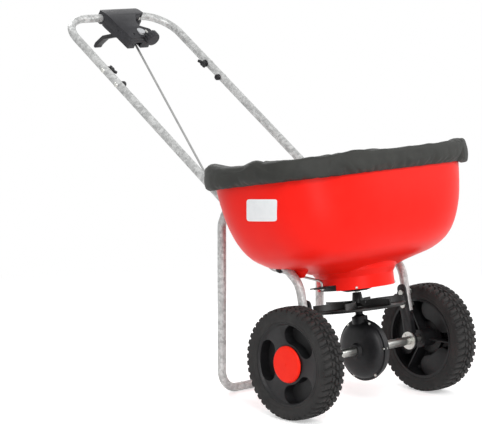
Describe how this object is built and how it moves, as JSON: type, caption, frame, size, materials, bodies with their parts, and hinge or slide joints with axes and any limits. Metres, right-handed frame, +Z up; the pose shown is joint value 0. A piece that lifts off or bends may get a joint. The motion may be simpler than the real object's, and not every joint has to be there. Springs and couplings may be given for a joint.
{
  "type": "broadcast spreader",
  "caption": "Two-wheeled push spreader with a covered hopper; the axle drives an impeller under a lever-worked shutter.",
  "frame": {"origin": "on the ground midway between the wheels, under the axle, as parked on its stand", "axes": "+X to the right seen from the front, along the axle; +Y backwards from the wheels to the handle; +Z up"},
  "size_m": [0.7122, 1.1625, 0.9607],
  "materials": {
    "hopper_red": "glossy moulded",
    "black_plastic": "fine moulded grain",
    "tyre_rubber": "matt tread",
    "galvanised": "galvanised tube, satin",
    "black_steel": "black powder coat",
    "bright_steel": "zinc plated",
    "bronze": "sintered",
    "nylon": "natural",
    "red_cap": "glossy moulded",
    "fabric": "woven, proofed",
    "scale_grey": "pale disc"
  },
  "bodies": {
    "frame": {"hopper": "hopper_red", "port_plate": "black_plastic", "shutter_cage": "black_plastic", "cage_screws": "bright_steel", "shaft_bush": "bronze", "gearbox_left": "black_plastic", "gearbox_right": "black_plastic", "gearbox_screws": "bright_steel", "gearbox_bushes": "bronze", "axle_bearings": "bright_steel", "hanger_left": "black_steel", "hanger_right": "black_steel", "hanger_bolts": "bright_steel", "side_tube_left": "galvanised", "side_tube_right": "galvanised", "tube_plugs": "black_plastic", "upper_handle": "galvanised", "splice_bolts": "bright_steel", "splice_nuts": "black_plastic", "wing_knobs": "black_plastic", "stand": "galvanised", "stand_bolts": "bright_steel", "hopper_bolts": "bright_steel", "hopper_nuts": "black_plastic", "control_base": "black_plastic", "control_cover": "black_plastic", "control_screws": "bright_steel", "trigger_pin": "bright_steel", "trigger_spring": "bright_steel", "dial_scale": "scale_grey"},
    "drive_axle": {"axle": "bright_steel", "axle_spacers": "bright_steel", "crown_gear": "nylon", "crown_pin": "bright_steel", "tyre_left": "tyre_rubber", "rim_left": "black_plastic", "cap_left": "red_cap", "drive_pin": "bright_steel", "axle_washers": "bright_steel", "cotter_pins": "bright_steel"},
    "free_wheel": {"tyre_right": "tyre_rubber", "rim_right": "black_plastic", "cap_right": "red_cap"},
    "spinner": {"impeller_shaft": "bright_steel", "pinion": "bronze", "pinion_pin": "bright_steel", "impeller": "black_plastic", "impeller_pin": "bright_steel", "agitator": "bright_steel"},
    "gate": {"shutter": "black_plastic"},
    "lever": {"trigger": "black_plastic"},
    "rod": {"control_rod": "galvanised", "rod_clips": "bright_steel"},
    "dial": {"rate_dial": "black_plastic", "stop_screw": "bright_steel"},
    "cover": {"cover_sheet": "fabric"}
  },
  "joints": [
    {"name": "axle_spin", "type": "hinge", "parent": "frame", "child": "drive_axle", "pos_m": [0, 0, 0.14], "axis": [1, 0, 0], "continuous": true},
    {"name": "free_wheel_spin", "type": "hinge", "parent": "drive_axle", "child": "free_wheel", "pos_m": [0.243, 0, 0.14], "axis": [1, 0, 0], "continuous": true},
    {"name": "impeller_spin", "type": "hinge", "parent": "frame", "child": "spinner", "pos_m": [0, 0.01804, 0.24445], "axis": [0, 0.1702, 0.9854], "continuous": true},
    {"name": "trigger_squeeze", "type": "hinge", "parent": "frame", "child": "lever", "pos_m": [0, 0.90243, 0.90776], "axis": [1, 0, 0], "range_deg": [0, 26], "stiffness_Nm_per_rad": 0.5, "springref_deg": -17.19},
    {"name": "rod_swing", "type": "hinge", "parent": "lever", "child": "rod", "pos_m": [0.016, 0.91363, 0.87779], "axis": [1, 0, 0], "range_deg": [-26, 0.5]},
    {"name": "gate_turn", "type": "hinge", "parent": "frame", "child": "gate", "pos_m": [0, 0.02894, 0.30752], "axis": [0, 0.1702, 0.9854], "range_deg": [-10.6, 0.5]},
    {"name": "rate_dial_turn", "type": "hinge", "parent": "frame", "child": "dial", "pos_m": [0.05, 0.86798, 0.89095], "axis": [0, -0.8339, -0.5519], "range_deg": [0, 300]},
    {"name": "cover_lift", "type": "slide", "parent": "frame", "child": "cover", "axis": [0, 0.1702, 0.9854], "range_m": [0, 0.25]}
  ],
  "couplings": [
    {"joint": "impeller_spin", "follows": "axle_spin", "ratio": -4},
    {"joint": "rod_swing", "follows": "trigger_squeeze", "ratio": -0.9727},
    {"joint": "gate_turn", "follows": "trigger_squeeze", "ratio": -0.3807}
  ]
}
